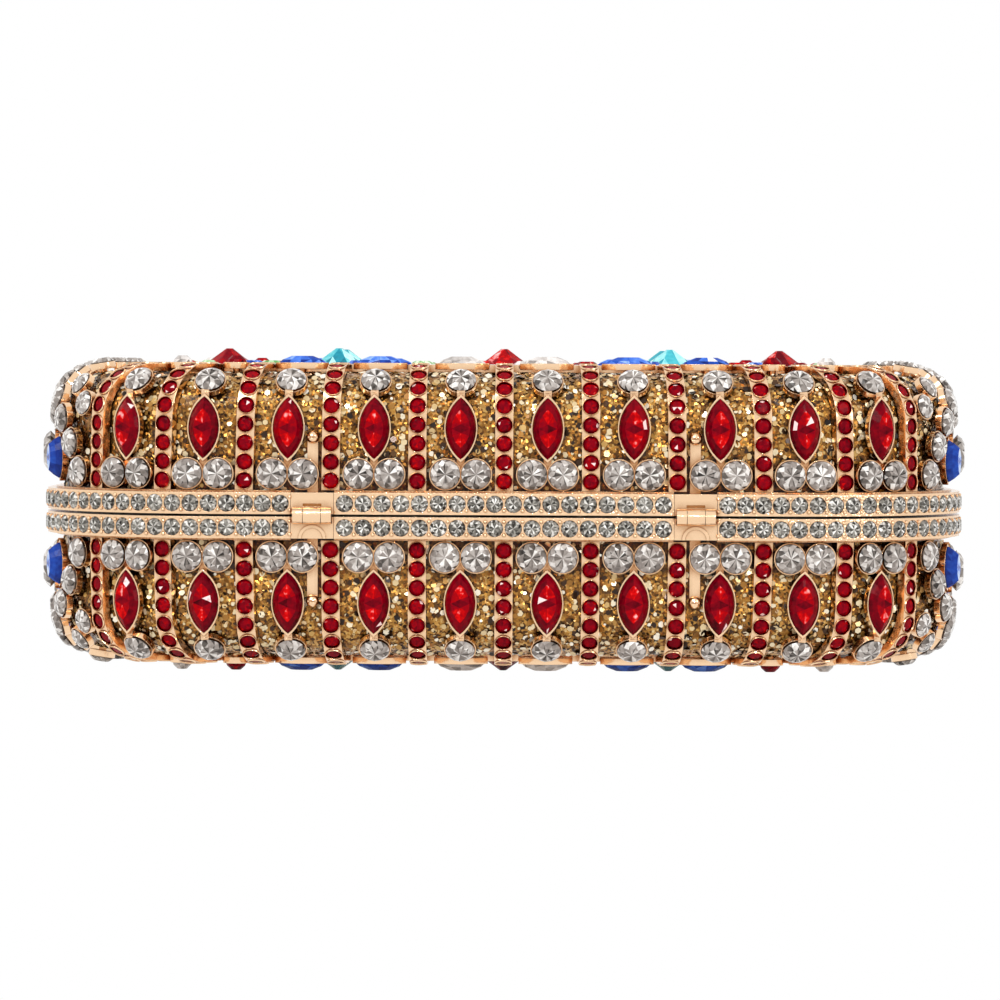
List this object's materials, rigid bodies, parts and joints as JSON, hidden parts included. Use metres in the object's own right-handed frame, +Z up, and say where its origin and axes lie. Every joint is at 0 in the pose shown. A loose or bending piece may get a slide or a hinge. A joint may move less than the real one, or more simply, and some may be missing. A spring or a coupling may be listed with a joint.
{
  "type": "minaudiere",
  "caption": "Hinged hard-shell evening clutch with a glitter box, stone-set cage and rims, openwork flower faces, spring catch and chain eyes.",
  "frame": {"origin": "centre of the bounding box's underside: the bag lies on its back face's stones", "axes": "+X along the length, -Y towards the hinges, +Y towards the clasp, +Z up through the lid"},
  "size_m": [0.1966, 0.1228, 0.069],
  "materials": {
    "rose_gold": "polished rose-gold plate",
    "gold_glitter": "chunky gold glitter under clear lacquer",
    "lining_satin": "gold satin",
    "clear_crystal": "cut and foiled",
    "ruby_glass": "cut and foiled",
    "sapphire_glass": "cut and foiled",
    "aqua_glass": "cut and foiled",
    "pin_steel": "plated",
    "spring_steel": "bright"
  },
  "bodies": {
    "base": {"back_box": "gold_glitter", "back_lining": "lining_satin", "back_rim": "rose_gold", "back_cage": "rose_gold", "back_bay_settings": "rose_gold", "back_end_settings": "rose_gold", "back_face_panel": "rose_gold", "back_rib_rubies": "ruby_glass", "back_rim_crystals": "clear_crystal", "back_row_crystals": "clear_crystal", "back_shoulder_crystals": "clear_crystal", "back_ruby_navettes": "ruby_glass", "back_edge_stones": "sapphire_glass", "back_arch_crystals": "clear_crystal", "back_end_sapphires": "sapphire_glass", "back_end_crystals": "clear_crystal", "back_rivolis": "aqua_glass", "back_petals": "sapphire_glass", "back_border_crystals": "clear_crystal", "back_face_crystals": "clear_crystal", "left_hinge_base_leaf": "rose_gold", "left_hinge_pin": "pin_steel", "right_hinge_base_leaf": "rose_gold", "right_hinge_pin": "pin_steel", "base_leaf_screws": "rose_gold", "left_chain_eye": "rose_gold", "right_chain_eye": "rose_gold", "latch_tongue": "spring_steel", "tongue_rivets": "spring_steel"},
    "lid": {"front_box": "gold_glitter", "front_lining": "lining_satin", "front_rim": "rose_gold", "front_cage": "rose_gold", "front_bay_settings": "rose_gold", "front_end_settings": "rose_gold", "front_face_panel": "rose_gold", "front_rib_rubies": "ruby_glass", "front_rim_crystals": "clear_crystal", "front_row_crystals": "clear_crystal", "front_shoulder_crystals": "clear_crystal", "front_ruby_navettes": "ruby_glass", "front_edge_stones": "sapphire_glass", "front_arch_crystals": "clear_crystal", "front_end_sapphires": "sapphire_glass", "front_end_crystals": "clear_crystal", "front_rivolis": "aqua_glass", "front_petals": "sapphire_glass", "front_border_crystals": "clear_crystal", "front_face_crystals": "clear_crystal", "left_hinge_lid_leaf": "rose_gold", "right_hinge_lid_leaf": "rose_gold", "lid_leaf_screws": "rose_gold", "lid_keeper": "spring_steel", "keeper_rivets": "spring_steel"},
    "button": {"clasp_button": "rose_gold", "button_crystals": "clear_crystal"}
  },
  "joints": [
    {"name": "lid_hinge", "type": "hinge", "parent": "base", "child": "lid", "pos_m": [0, -0.0597, 0.0345], "axis": [1, 0, 0], "range_deg": [0, 100], "deforming": ["latch_tongue"]},
    {"name": "button_slide", "type": "slide", "parent": "base", "child": "button", "axis": [0, -1, 0], "range_m": [0, 0.0012], "stiffness_N_per_m": 400, "deforming": ["latch_tongue"]}
  ]
}
